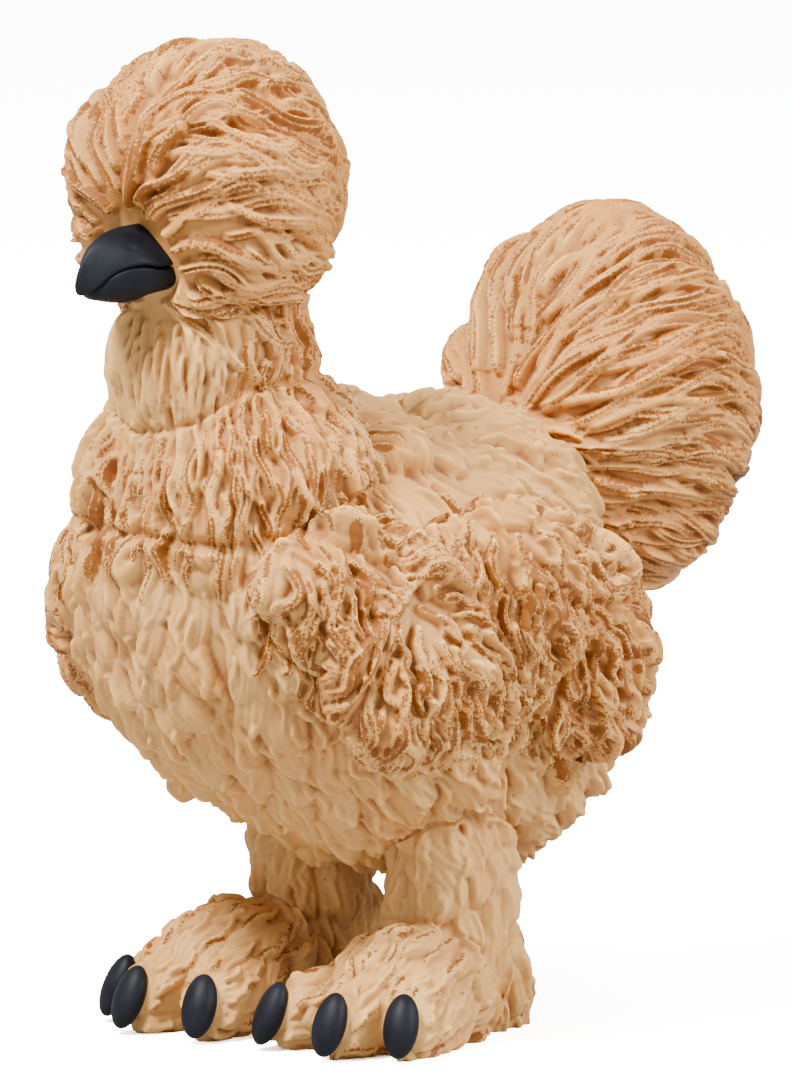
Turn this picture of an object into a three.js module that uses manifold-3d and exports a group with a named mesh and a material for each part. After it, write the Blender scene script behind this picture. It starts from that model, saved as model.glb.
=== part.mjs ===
// A moulded toy figure of a silkie hen, standing, 52 mm high. Millimetres, +Z up, the bird faces -Y.
// Every part of the plumage is a rounded base form with raised locks, which are flat tapered tongues
// that follow the surface along the lie of the feathers, as they are sculpted on such a figure.
import * as THREE from "three";
import { mergeVertices } from "three/addons/utils/BufferGeometryUtils.js";
import Module from "manifold-3d";

const wasm = await Module();
wasm.setup();

// Driving dimensions.
const GAP = 0.3; // clear space where two parts meet
const FRAME_SHIFT = [0, -1.014, 0]; // moves the middle of the bounding box's base to the origin
const WELD = 1e-3; // vertices nearer than this are one
const TIDY = { shortest: 0.3, passes: 3, turn: 0.6, apart: 0.02 };
const SPAN = 80; // larger than the whole figure, for cutting blocks
const NECK_CUT = { height: 35, slope: 0.35 }; // the plane that parts neck from torso
const ANKLE_HEIGHT = 5.6;

// Base forms: middle, half sizes along X, Y and Z, the tilt about X in degrees (front up), how finely the
// surface is divided, and soft bumps or dents, each a direction, a share of the radius and a width in radians.
const FORMS = {
  head: {
    centre: [0, -13, 44.3],
    half: [6.55, 6.75, 7.15],
    detail: 4,
    bumps: [
      [[0, -1, -0.25], -0.2, 0.4],
      [[0.62, -0.72, 0.3], 0.05, 0.5],
      [[-0.62, -0.72, 0.3], 0.05, 0.5],
      [[0.7, -0.35, -0.62], 0.08, 0.4],
      [[-0.7, -0.35, -0.62], 0.08, 0.4],
    ],
  },
  beard: { centre: [0, -15.0, 35.4], half: [3.5, 2.8, 4.3], detail: 2 },
  column: { centre: [0, -11.5, 34.5], half: [4.6, 4.4, 9.8], tilt: -20, detail: 3 },
  mantle: { centre: [0, -11.3, 29], half: [7.6, 6.8, 7.3], detail: 4 },
  torso: {
    centre: [0, -2.5, 20.4],
    half: [11.3, 16.9, 11.3],
    tilt: 22,
    detail: 5,
    bumps: [
      [[0, -0.6, -0.8], -0.06, 0.7],
      [[0, 0.62, -0.78], 0.04, 0.5],
    ],
  },
  saddle: { centre: [0, 3.6, 25.4], half: [8.0, 8.0, 6.2], detail: 3 },
  tail: {
    centre: [0, 15.4, 30.6],
    half: [7.2, 7.8, 9.1],
    detail: 4,
    bumps: [
      [[0, -0.8, 0.6], -0.12, 0.6],
      [[0, 0.7, 0.7], -0.08, 0.5],
      [[0, 0.1, -0.99], 0.09, 0.5],
    ],
  },
};

// The wing on the bird's left side: its pad, then its clumps of curled feathers from shoulder to tip.
const WING_CLUMPS = [
  { centre: [9.4, -2.8, 21.6], half: [2.7, 10.9, 5.2], locks: 34 },
  { centre: [7.5, -11.2, 24.2], half: [2.9, 4.1, 3.6], locks: 22 },
  { centre: [10.0, -7.6, 19.8], half: [2.8, 4.4, 4.1], locks: 22 },
  { centre: [10.2, -0.8, 23.4], half: [2.8, 4.8, 4.4], locks: 22 },
  { centre: [9.9, 3.9, 18.8], half: [2.8, 4.2, 4.0], locks: 22 },
  { centre: [7.1, 6.8, 20.3], half: [3.0, 3.6, 4.0], locks: 22 },
];

const LEG = { x: 5.2, height: 7, half: [3.0, 3.3, 8.4] };
const INSTEP = { centre: [0, -3.4, 2.6], half: [3.5, 5.0, 3.8] };
const HEEL = { centre: [0, 2.9, 2.2], half: [2.6, 2.5, 3.6] };
// Each foot: its side, where its ankle and its leg stand along Y, and its turn outwards in degrees.
const FEET = [
  { name: "left", side: 1, y: -0.4, legY: -0.7, turn: 9 },
  { name: "right", side: -1, y: -1.6, legY: 0.1, turn: 6 },
];
// Each toe: its length, and its turn in degrees, away from the other foot where positive.
const TOES = [
  { name: "inner", length: 11.2, turn: -25 },
  { name: "middle", length: 11.2, turn: 0 },
  { name: "outer", length: 10.0, turn: 20 },
];
const TOE = { half: [1.85, 4.8, 2.4], height: 1.75 };
const CLAW = { half: [0.92, 0.7, 1.7], height: 1.9, lean: 24, inset: 0.65, detail: 1 };

// Marks on the body that the lie of the feathers is taken from, and the bare skin round the beak.
const FACE = [0, -20.5, 42.2];
const NAPE = [0, -11.5, 39];
const CROWN = [0, -12, 44];
const CHIN = [0, -14, 42];
const TAIL_ROOT = [0, 4.5, 28];
const TAIL_DROOP = { from: 12, rate: 0.09 };
const SWIRL = { side: 2, front: -1.6, up: 0.75 }; // from a wing clump's middle to where its locks spring
const HIP_HEIGHT = 22;
const INSTEP_TOP = [0, 2, 6];
const MASK = { centre: [0, -18.2, 41.4], radius: 3.2 };

// What every lock shares: rings along it, the depths of its keel, root and edges, how much its edges droop
// with its width, how far its crown lies to one side, and how far it may bend and vary.
const LOCK = {
  steps: 4,
  keel: 0.9,
  root: 0.4,
  edge: 0.2,
  droop: 0.06,
  crown: 0.15,
  tip: 0.1,
  bend: 0.6,
  vary: 0.3,
};

// The coats of locks: how many are tried, the draw's seed, their size, how far they stay out of other forms,
// and the lowest and highest place of a root.
const COATS = {
  head: { count: 74, seed: 11, length: 6.2, width: 2.5, rise: 0.8, lift: 0.15, clear: { column: 1.2, beard: 1.4 } },
  beard: { count: 30, seed: 21, length: 4, width: 2, rise: 0.5, lift: 0.1, clear: { head: 0, column: 0.5 }, low: 32 },
  cape: {
    count: 56,
    seed: 31,
    length: 5.8,
    width: 2.9,
    rise: 0.9,
    lift: 0.4,
    clear: { column: 0.3, torso: -0.4, beard: 1 },
  },
  hackles: { count: 44, seed: 41, length: 3.6, width: 2.3, rise: 0.5, clear: { mantle: 0.2, head: 0.7, beard: 0.8 } },
  breast: {
    count: 150,
    seed: 51,
    length: 5.8,
    width: 3.4,
    rise: 0.85,
    lift: 0.2,
    clear: { mantle: 0.1, saddle: 0, tail: 1.6 },
    wing: 0.8,
    low: 10,
  },
  back: {
    count: 60,
    seed: 61,
    length: 5,
    width: 2.8,
    rise: 0.8,
    clear: { torso: -0.2, mantle: 0.1, tail: 2 },
    wing: 1,
  },
  wing: { seed: 70, length: 4.4, width: 2.4, rise: 0.75, lift: 0.15, clear: { torso: 0.7, mantle: 0.9, tail: 1.2 } },
  tail: {
    count: 66,
    seed: 81,
    length: 7.4,
    width: 2.9,
    rise: 0.85,
    lift: 0.3,
    clear: { torso: 0.8, saddle: 0.8 },
    low: 25,
  },
  leg: { count: 24, seed: 91, length: 2.8, width: 2, rise: 0.45, steps: 3, clear: { torso: 0.4 }, low: 7, high: 10.6 },
  foot: { count: 26, seed: 101, length: 2.8, width: 1.7, rise: 0.45, steps: 3, low: 3.2, ahead: -3 },
};
const CLUMP_OVERLAP = 0.2; // a wing lock may spring from this deep in a neighbouring clump

const COLOURS = {
  plumage: 0xdcb288,
  cream: 0xe6c6a0,
  slate: 0x34383f,
};

// A small repeatable random draw.
function drawFrom(seed) {
  let state = seed >>> 0;
  return () => {
    state = (state + 0x6d2b79f5) >>> 0;
    let t = state;
    t = Math.imul(t ^ (t >>> 15), t | 1);
    t ^= t + Math.imul(t ^ (t >>> 7), t | 61);
    return ((t ^ (t >>> 14)) >>> 0) / 4294967296;
  };
}

const vector = (a) => new THREE.Vector3(...a);

// A closed rounded form whose surface is one distance along each direction from its middle.
class Form {
  constructor({ centre, half, tilt = 0, detail = 2, bumps = [] }) {
    this.detail = detail;
    this.centre = vector(centre);
    this.half = vector(half);
    this.turn = new THREE.Quaternion().setFromAxisAngle(
      new THREE.Vector3(1, 0, 0),
      THREE.MathUtils.degToRad(-tilt),
    );
    this.back = this.turn.clone().invert();
    this.bumps = bumps.map(([way, share, width]) => ({ way: vector(way).normalize(), share, width }));
  }

  radius(way, grow = 0) {
    const d = way.clone().applyQuaternion(this.back);
    const r = 1 / Math.hypot(d.x / (this.half.x + grow), d.y / (this.half.y + grow), d.z / (this.half.z + grow));
    let share = 1;
    for (const bump of this.bumps) {
      const angle = way.angleTo(bump.way);
      share += bump.share * Math.exp(-((angle / bump.width) ** 2));
    }
    return r * share;
  }

  // How far a point is outside the form, along the line from its middle.
  outside(p) {
    const way = p.clone().sub(this.centre);
    const far = way.length();
    return far - this.radius(way.normalize());
  }

  onto(p) {
    const way = p.clone().sub(this.centre).normalize();
    return way.clone().multiplyScalar(this.radius(way)).add(this.centre);
  }

  normal(p) {
    const e = 0.05;
    const rise = (axis) => {
      const step = new THREE.Vector3().setComponent(axis, e);
      return this.outside(p.clone().add(step)) - this.outside(p.clone().sub(step));
    };
    return new THREE.Vector3(rise(0), rise(1), rise(2)).normalize();
  }

  // The form as a solid, on the directions of a subdivided icosahedron.
  solid(grow = 0) {
    const geometry = new THREE.IcosahedronGeometry(1, this.detail);
    const place = geometry.getAttribute("position");
    for (let i = 0; i < place.count; i++) {
      const way = new THREE.Vector3().fromBufferAttribute(place, i).normalize();
      const p = way.clone().multiplyScalar(this.radius(way, grow)).add(this.centre);
      place.setXYZ(i, p.x, p.y, p.z);
    }
    return solidOf(geometry);
  }
}

// A three.js geometry as a manifold solid, and back.
function solidOf(geometry) {
  const bare = new THREE.BufferGeometry().setAttribute("position", geometry.getAttribute("position"));
  if (geometry.index) {
    bare.setIndex(geometry.index);
  }
  const merged = mergeVertices(bare, WELD);
  return new wasm.Manifold(
    new wasm.Mesh({
      numProp: 3,
      vertProperties: new Float32Array(merged.attributes.position.array),
      triVerts: new Uint32Array(merged.index.array),
    }),
  );
}

function geometryOf(solid) {
  const mesh = solid.getMesh();
  const geometry = new THREE.BufferGeometry();
  const places = new Float32Array(mesh.numVert * 3);
  for (let i = 0; i < mesh.numVert; i++) {
    places.set(mesh.vertProperties.subarray(i * mesh.numProp, i * mesh.numProp + 3), i * 3);
  }
  geometry.setAttribute("position", new THREE.BufferAttribute(places, 3));
  geometry.setIndex(new THREE.BufferAttribute(new Uint32Array(mesh.triVerts), 1));
  geometry.computeVertexNormals();
  return geometry;
}

const joined = (solids) => wasm.Manifold.union(solids);

// A solid moved by a matrix; a mirror turns its faces round, so they are turned back.
function moved(solid, matrix) {
  const geometry = geometryOf(solid).applyMatrix4(matrix);
  if (matrix.determinant() < 0) {
    const index = geometry.index;
    for (let i = 0; i < index.count; i += 3) {
      const second = index.getX(i + 1);
      index.setX(i + 1, index.getX(i + 2));
      index.setX(i + 2, second);
    }
  }
  return solidOf(geometry);
}

// The largest closed surface of a solid, so that no sealed hollow or loose scrap is left.
function largestOf(solid) {
  return solid.decompose().reduce((a, b) => (b.volume() > a.volume() ? b : a));
}

// A mesh as points and faces that know their neighbours, for taking short edges out of it.
class Web {
  constructor(geometry) {
    const place = geometry.getAttribute("position");
    this.points = Array.from({ length: place.count }, (_, i) => new THREE.Vector3().fromBufferAttribute(place, i));
    this.faces = Array.from({ length: geometry.index.count / 3 }, (_, n) =>
      [0, 1, 2].map((k) => geometry.index.getX(3 * n + k)),
    );
    this.around = this.points.map(() => new Set());
    this.faces.forEach((face, n) => face.forEach((i) => this.around[i].add(n)));
  }

  beside(i) {
    const found = new Set([...this.around[i]].flatMap((n) => this.faces[n]));
    found.delete(i);
    return found;
  }

  faceNormal(face) {
    const [a, b, c] = face.map((i) => this.points[i]);
    return b.clone().sub(a).cross(c.clone().sub(a));
  }

  // Whether point a can move onto its neighbour b and leave the surface closed and no face turned over.
  canMerge(a, b) {
    const nextToB = this.beside(b);
    const shared = [...this.beside(a)].filter((i) => nextToB.has(i));
    if (shared.length !== 2) {
      return false;
    }
    return [...this.around[a]].every((n) => {
      const face = this.faces[n];
      if (face.includes(b)) {
        return true;
      }
      const before = this.faceNormal(face);
      const after = this.faceNormal(face.map((i) => (i === a ? b : i)));
      return after.length() > 1e-4 && (before.length() < 1e-3 || before.angleTo(after) < TIDY.turn);
    });
  }

  merge(a, b) {
    for (const n of this.around[a]) {
      const face = this.faces[n];
      if (face.includes(b)) {
        face.forEach((i) => this.around[i].delete(n));
        this.faces[n] = [];
      } else {
        this.faces[n] = face.map((i) => (i === a ? b : i));
        this.around[b].add(n);
      }
    }
    this.around[a].clear();
  }

  mergeShort(shortest) {
    this.points.forEach((point, a) => {
      const near = [...this.beside(a)].filter((b) => point.distanceTo(this.points[b]) < shortest);
      const target = near.find((b) => this.canMerge(a, b));
      if (target !== undefined) {
        this.merge(a, target);
      }
    });
  }

  // Where two sheets all but touch at a point, one of them draws back into the solid.
  partTouching(distance) {
    const used = this.points.keys().filter((i) => this.around[i].size).toArray();
    used.forEach((i, rank) => {
      if (used.slice(0, rank).some((j) => this.points[i].distanceTo(this.points[j]) < distance)) {
        const normal = new THREE.Vector3();
        this.around[i].forEach((n) => normal.add(this.faceNormal(this.faces[n])));
        this.points[i].addScaledVector(normal.normalize(), -2 * distance);
      }
    });
  }

  geometry() {
    const geometry = new THREE.BufferGeometry();
    const places = this.points.flatMap((p) => p.toArray());
    geometry.setAttribute("position", new THREE.Float32BufferAttribute(places, 3));
    geometry.setIndex(this.faces.flat());
    return geometry;
  }
}

// A finished node's mesh: its largest closed surface, without the short edges that joins leave.
function tidied(solid) {
  const web = new Web(geometryOf(largestOf(solid)));
  for (let pass = 0; pass < TIDY.passes; pass++) {
    web.mergeShort(TIDY.shortest);
  }
  const settled = new Web(geometryOf(largestOf(solidOf(web.geometry()))));
  settled.partTouching(TIDY.apart);
  return settled.geometry();
}

// A closed solid through rings of points, each ring given as an array, with a point at either end.
function ringSolid(start, rings, end) {
  const points = [start, ...rings.flat(), end];
  const sides = rings[0].length;
  const last = points.length - 1;
  const faces = [];
  for (let k = 0; k < sides; k++) {
    const next = (k + 1) % sides;
    faces.push(0, 1 + next, 1 + k);
    for (let i = 0; i + 1 < rings.length; i++) {
      const a = 1 + i * sides;
      const b = a + sides;
      faces.push(a + k, a + next, b + next, a + k, b + next, b + k);
    }
    const tail = 1 + (rings.length - 1) * sides;
    faces.push(last, tail + k, tail + next);
  }
  const geometry = new THREE.BufferGeometry();
  geometry.setAttribute("position", new THREE.Float32BufferAttribute(points.flatMap((p) => p.toArray()), 3));
  geometry.setIndex(faces);
  const solid = solidOf(geometry);
  if (solid.volume() > 0) {
    return solid;
  }
  geometry.setIndex(faces.flatMap((_, i) => (i % 3 ? [] : [faces[i], faces[i + 2], faces[i + 1]])));
  return solidOf(geometry);
}

// The route of a lock: steps along the flow from its root, kept on the form.
function route(form, root, flow, length, steps) {
  const path = [];
  let p = form.onto(root);
  for (let i = 0; i <= steps; i++) {
    const normal = form.normal(p);
    const along = flow(p, i / steps).projectOnPlane(normal).normalize();
    const side = new THREE.Vector3().crossVectors(along, normal).normalize();
    path.push({ p, normal, side, along });
    p = form.onto(p.clone().addScaledVector(along, length / steps));
  }
  return path;
}

// A lock is a ridge, widest before its middle, with a keel sunk under it, that rises to its crown and ends
// in a point. Grown, it is the room that a neighbour keeps clear.
function lockSolid(path, { width, rise, lift }, grow) {
  const rings = [];
  const last = path.length - 1;
  for (let i = 1; i < last; i++) {
    const t = i / last;
    const w = (width / 2) * Math.sin(Math.PI * (0.2 + 0.7 * t)) ** 0.8 + grow;
    const h = rise * (0.6 + 0.8 * t - 0.6 * t * t) + lift * t * t + grow;
    const low = -LOCK.edge - LOCK.droop * w * w;
    const { p, normal, side } = path[i];
    const at = (s, n) => p.clone().addScaledVector(side, s).addScaledVector(normal, n);
    rings.push([at(-w, low), at(LOCK.crown * w, h), at(w, low), at(0, -LOCK.keel)]);
  }
  const first = path[0];
  const tip = path[last];
  const start = first.p.clone().addScaledVector(first.normal, -LOCK.root);
  const end = tip.p.clone().addScaledVector(tip.normal, LOCK.tip + lift * 0.7 + grow / 2);
  return ringSolid(start, rings, end.addScaledVector(tip.along, grow));
}

// Directions spread evenly over a form, along a golden spiral that is stretched half as far as the form is.
function* evenDirections(count, form) {
  const stretch = new THREE.Vector3(...form.half.toArray().map(Math.sqrt));
  const golden = Math.PI * (3 - Math.sqrt(5));
  for (let i = 0; i < count; i++) {
    const z = 1 - (2 * i + 1) / count;
    const r = Math.sqrt(1 - z * z);
    const way = new THREE.Vector3(r * Math.cos(i * golden), r * Math.sin(i * golden), z);
    yield way.multiply(stretch).applyQuaternion(form.turn).normalize();
  }
}

// Locks spread evenly over a form where keep says so, each along the flow with a slight bend of its own.
function coat(form, { count, seed, length, width, rise, lift = 0, steps = LOCK.steps }, flow, keep, grow = 0) {
  const draw = drawFrom(seed);
  const solids = [];
  for (const way of evenDirections(count, form)) {
    const vary = 1 + LOCK.vary * (draw() - 0.5);
    const bend = LOCK.bend * (draw() - 0.5);
    const root = form.onto(way.clone().multiplyScalar(form.radius(way)).add(form.centre));
    if (!keep(root)) {
      continue;
    }
    const curved = (p, t) => {
      const normal = form.normal(p);
      return flow(p).projectOnPlane(normal).normalize().applyAxisAngle(normal, bend * (t - 0.3) * 2);
    };
    const path = route(form, root, curved, length * vary, steps);
    solids.push(lockSolid(path, { width: width * vary, rise: rise * vary, lift }, grow));
  }
  return solids;
}

const forms = Object.fromEntries(Object.entries(FORMS).map(([name, f]) => [name, new Form(f)]));

// The lie of the feathers: away from a point, leaning towards a direction.
const awayFrom = (point, lean = [0, 0, 0]) => (p) =>
  p.clone().sub(vector(point)).normalize().add(vector(lean));

const wingForms = WING_CLUMPS.map((clump) => new Form({ ...clump, detail: 2 }));
const mirror = new THREE.Matrix4().makeScale(-1, 1, 1);
const mirrored = (solid) => moved(solid, mirror);
const clearOfWing = (p) => {
  const q = new THREE.Vector3(Math.abs(p.x), p.y, p.z);
  return Math.min(...wingForms.map((form) => form.outside(q)));
};

// Whether a coat may root a lock at a point: clear of the forms that it names, and between its heights.
function mayRoot(p, { clear = {}, wing, low = -Infinity, high = Infinity, ahead = Infinity }) {
  return (
    Object.entries(clear).every(([name, margin]) => forms[name].outside(p) > margin) &&
    (wing === undefined || clearOfWing(p) > wing) &&
    p.z > low &&
    p.z < high &&
    p.y < ahead
  );
}

// What each node has of base form and of locks; grown, it is the room that its neighbours keep clear.
const core = (name, grow = 0) => forms[name].solid(grow);

function block(size, centre) {
  return solidOf(new THREE.BoxGeometry(...size).translate(...centre));
}

// The half of space over or under the neck's plane, as a large block.
function neckSide(up) {
  const geometry = new THREE.BoxGeometry(SPAN, SPAN, SPAN).translate(0, 0, (up * (SPAN + GAP)) / 2);
  geometry.rotateX(Math.atan(NECK_CUT.slope));
  geometry.translate(0, 0, NECK_CUT.height);
  return solidOf(geometry);
}

function headLocks(grow = 0) {
  const keep = (p) => mayRoot(p, COATS.head) && p.distanceTo(vector(MASK.centre)) > MASK.radius;
  return coat(forms.head, COATS.head, awayFrom(FACE, [0, 0.2, -0.8]), keep, grow);
}

const plainCoat = (form, row, flow, grow = 0) => coat(form, row, flow, (p) => mayRoot(p, row), grow);

const beardLocks = (grow = 0) => plainCoat(forms.beard, COATS.beard, awayFrom(CHIN), grow);

// Locks that spill from the top of each clump of the wing.
const wingLocks = (grow = 0) =>
  wingForms.flatMap((form, i) => {
    const swirl = form.centre.clone().add(vector([SWIRL.side, SWIRL.front, form.half.z * SWIRL.up]));
    const row = { ...COATS.wing, count: WING_CLUMPS[i].locks, seed: COATS.wing.seed + i };
    const keep = (p) =>
      mayRoot(p, row) && wingForms.every((other) => other === form || other.outside(p) > -CLUMP_OVERLAP);
    return coat(form, row, awayFrom(swirl.toArray(), [0, 0.25, -0.35]), keep, grow);
  });

function tailLocks(grow = 0) {
  const flow = (p) => {
    const droop = TAIL_DROOP.rate * Math.max(0, p.y - TAIL_DROOP.from);
    return awayFrom(TAIL_ROOT, [0, 0.2, -droop])(p);
  };
  return plainCoat(forms.tail, COATS.tail, flow, grow);
}

// Locks of the neck and torso: the cape that hangs from the neck, the hackles above it, the breast and
// flanks, and the saddle.
function bodyLocks() {
  return joined([
    ...plainCoat(forms.mantle, COATS.cape, awayFrom(NAPE)),
    ...plainCoat(forms.column, COATS.hackles, awayFrom(CROWN)),
    ...plainCoat(forms.torso, COATS.breast, awayFrom(NAPE, [0, 0.15, -0.1])),
    ...plainCoat(forms.saddle, COATS.back, awayFrom(NAPE, [0, 0.3, 0])),
  ]);
}

function headNode() {
  const clear = joined([core("column", GAP), core("beard", GAP), ...beardLocks(GAP)]);
  const floor = core("mantle", GAP);
  return core("head").add(joined(headLocks()).subtract(clear).subtract(floor));
}

// The beak's halves: rings along the beak, each a place, half width, height above and depth below.
const BEAK = {
  upper: [
    { y: -16.4, z: 41.2, w: 2.3, up: 1.8, down: 0.6 },
    { y: -18.1, z: 41.15, w: 2.25, up: 1.85, down: 0.6 },
    { y: -19.0, z: 41.3, w: 2.05, up: 1.65, down: 0.6 },
    { y: -19.8, z: 41.25, w: 1.7, up: 1.5, down: 0.6 },
    { y: -20.5, z: 41.0, w: 1.3, up: 1.45, down: 0.6 },
    { y: -21.2, z: 40.5, w: 0.85, up: 1.35, down: 0.55 },
    { y: -21.7, z: 40.2, w: 0.45, up: 1.0, down: 0.45 },
  ],
  upperTip: [0, -22.0, 40.2],
  lower: [
    { y: -16.6, z: 40.3, w: 2.2, up: 0.3, down: 1.0 },
    { y: -18.1, z: 40.3, w: 2.15, up: 0.3, down: 1.05 },
    { y: -19.0, z: 40.3, w: 1.9, up: 0.3, down: 1.15 },
    { y: -19.8, z: 40.2, w: 1.55, up: 0.3, down: 1.0 },
    { y: -20.5, z: 39.9, w: 1.05, up: 0.3, down: 0.6 },
  ],
  lowerTip: [0, -21.1, 39.6],
  back: 0.2, // how far a half's closed back rises over its first ring
  sides: 12,
};

function beakHalf(stations, tip, grow = 0) {
  const rings = stations.map(({ y, z, w, up, down }) =>
    Array.from({ length: BEAK.sides }, (_, k) => {
      const angle = (2 * Math.PI * k) / BEAK.sides;
      const high = Math.sin(angle);
      return new THREE.Vector3((w + grow) * Math.cos(angle), y, z + high * ((high > 0 ? up : down) + grow));
    }),
  );
  const first = stations[0];
  const end = vector(tip).add(new THREE.Vector3(0, -grow, -grow));
  return ringSolid(new THREE.Vector3(0, first.y + BEAK.back, first.z), rings, end);
}

function beakNodes() {
  const behind = joined([core("head", GAP), core("beard", GAP), ...beardLocks(GAP)]);
  const upper = beakHalf(BEAK.upper, BEAK.upperTip);
  const lower = beakHalf(BEAK.lower, BEAK.lowerTip);
  const roof = beakHalf(BEAK.upper, BEAK.upperTip, GAP);
  return {
    upper: upper.subtract(behind),
    lower: lower.subtract(roof).subtract(behind),
  };
}

function beardNode() {
  const clear = joined([core("column", GAP), core("mantle", GAP), core("head", GAP)]);
  return joined([core("beard"), ...beardLocks()]).subtract(clear);
}

// Neck and torso share their forms, and the slanting plane parts them.
function bodyNodes() {
  const forest = joined(["torso", "mantle", "saddle", "column"].map((name) => core(name)));
  const wing = joined([...wingForms.map((form) => form.solid(GAP)), ...wingLocks(GAP)]);
  const clear = joined([
    core("tail", GAP),
    ...tailLocks(GAP),
    core("head", GAP),
    ...headLocks(GAP),
    core("beard", GAP),
    ...beardLocks(GAP),
    wing,
    mirrored(wing),
    ...FEET.map((foot) => legForm(foot).solid(GAP)),
  ]);
  const whole = forest.subtract(core("head", GAP)).add(bodyLocks().subtract(clear));
  return {
    neck: whole.intersect(neckSide(1)),
    torso: whole.intersect(neckSide(-1)),
  };
}

// A wing is a cluster of curled clumps against the side of the torso.
function wingNode() {
  const clear = joined([
    core("torso", GAP),
    core("saddle", GAP),
    core("mantle", GAP),
    core("tail", GAP),
    ...tailLocks(GAP),
  ]);
  return joined([...wingForms.map((form) => form.solid()), ...wingLocks()]).subtract(clear);
}

function tailNode() {
  const clear = joined([core("torso", GAP), core("saddle", GAP)]);
  return joined([core("tail"), ...tailLocks()]).subtract(clear);
}

// A foot's own frame: its ankle on the floor, turned out from straight ahead.
function footFrame(foot) {
  const turn = new THREE.Matrix4().makeRotationZ(THREE.MathUtils.degToRad(foot.side * foot.turn));
  return new THREE.Matrix4().makeTranslation(foot.side * LEG.x, foot.y, 0).multiply(turn);
}

function legForm(foot) {
  return new Form({ centre: [foot.side * LEG.x, foot.legY, LEG.height], half: LEG.half, detail: 3 });
}

function legNode(foot) {
  const form = legForm(foot);
  const row = { ...COATS.leg, seed: COATS.leg.seed + foot.side };
  const tufts = plainCoat(form, row, awayFrom([foot.side * LEG.x, foot.y, HIP_HEIGHT]));
  const above = block([SPAN, SPAN, SPAN], [0, 0, ANKLE_HEIGHT + GAP + SPAN / 2]);
  const whole = joined([form.solid(), ...tufts]).intersect(above);
  return whole.subtract(core("torso", GAP));
}

const toeTurn = (foot, toe) => new THREE.Matrix4().makeRotationZ(THREE.MathUtils.degToRad(foot.side * toe.turn));

// A toe is a long rounded form that points away from the ankle.
function toeSolid(foot, toe) {
  const form = new Form({ centre: [0, TOE.half[1] - toe.length, TOE.height], half: TOE.half });
  return moved(form.solid(), toeTurn(foot, toe));
}

// A claw is an oval nail that leans back on the front of its toe.
function clawSolid(foot, toe, grow = 0) {
  const [x, y, z] = CLAW.half;
  const geometry = new THREE.IcosahedronGeometry(1, CLAW.detail).scale(x + grow, y + grow, z + grow);
  geometry.rotateX(THREE.MathUtils.degToRad(-CLAW.lean));
  geometry.translate(0, CLAW.inset - toe.length, CLAW.height);
  return moved(solidOf(geometry), footFrame(foot).multiply(toeTurn(foot, toe)));
}

function footNode(foot) {
  const instep = new Form(INSTEP);
  const row = { ...COATS.foot, seed: COATS.foot.seed + foot.side };
  const tufts = plainCoat(instep, row, awayFrom(INSTEP_TOP));
  const toes = TOES.map((toe) => toeSolid(foot, toe));
  const below = block([SPAN, SPAN, ANKLE_HEIGHT], [0, 0, ANKLE_HEIGHT / 2]);
  const shapes = joined([instep.solid(), new Form(HEEL).solid(), ...toes, ...tufts]);
  const whole = moved(shapes, footFrame(foot)).add(legForm(foot).solid());
  const sockets = joined(TOES.map((toe) => clawSolid(foot, toe, GAP)));
  return whole.intersect(below).subtract(sockets);
}

const group = new THREE.Group();
const toFrame = new THREE.Matrix4().makeTranslation(...FRAME_SHIFT);
const finish = (color, roughness) => new THREE.MeshStandardMaterial({ color, roughness, metalness: 0 });
const plumage = () => finish(COLOURS.plumage, 0.62);
const cream = () => finish(COLOURS.cream, 0.6);
const slate = () => finish(COLOURS.slate, 0.42);

function addNode(name, solid, material) {
  const mesh = new THREE.Mesh(tidied(moved(solid, toFrame)), material);
  mesh.name = name;
  group.add(mesh);
}

const body = bodyNodes();
const beak = beakNodes();
const wing = wingNode();
addNode("head", headNode(), plumage());
addNode("beak_upper", beak.upper, slate());
addNode("beak_lower", beak.lower, slate());
addNode("beard", beardNode(), cream());
addNode("neck", body.neck, plumage());
addNode("torso", body.torso, cream());
addNode("wing_left", wing, plumage());
addNode("wing_right", mirrored(wing), plumage());
addNode("tail", tailNode(), plumage());
for (const foot of FEET) {
  addNode(`leg_${foot.name}`, legNode(foot), cream());
  addNode(`foot_${foot.name}`, footNode(foot), cream());
  for (const toe of TOES) {
    addNode(`claw_${foot.name}_${toe.name}`, clawSolid(foot, toe), slate());
  }
}
export default group;
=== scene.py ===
"""A small moulded plastic figure of a silkie hen: one fused skin with sculpted locks and dry-brushed
paint, a satin slate beak and six painted claws. Shapes are worked out in millimetres, in the axes of
the hen's own design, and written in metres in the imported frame."""
import math

import bpy
import numpy as np
from mathutils import Matrix


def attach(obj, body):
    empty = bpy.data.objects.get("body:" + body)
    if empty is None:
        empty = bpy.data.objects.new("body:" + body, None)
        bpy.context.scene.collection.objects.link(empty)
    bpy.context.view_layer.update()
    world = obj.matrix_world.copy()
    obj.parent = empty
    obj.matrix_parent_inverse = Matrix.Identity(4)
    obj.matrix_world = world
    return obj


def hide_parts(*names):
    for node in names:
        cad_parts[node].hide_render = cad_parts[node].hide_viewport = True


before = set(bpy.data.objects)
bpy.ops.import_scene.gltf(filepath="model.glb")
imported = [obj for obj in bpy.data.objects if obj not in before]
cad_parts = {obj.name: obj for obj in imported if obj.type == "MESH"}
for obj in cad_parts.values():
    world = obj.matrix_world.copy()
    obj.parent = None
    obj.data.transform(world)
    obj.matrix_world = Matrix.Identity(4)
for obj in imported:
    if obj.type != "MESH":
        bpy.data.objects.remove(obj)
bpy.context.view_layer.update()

MM = 0.001
TO_FRAME = np.array([0.0, -1.014, 0.0])  # from the design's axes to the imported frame, in millimetres
VOXEL = 0.1  # side of a face of the skin
BLEND = 0.45  # radius that rounds the crease where two forms meet
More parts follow.
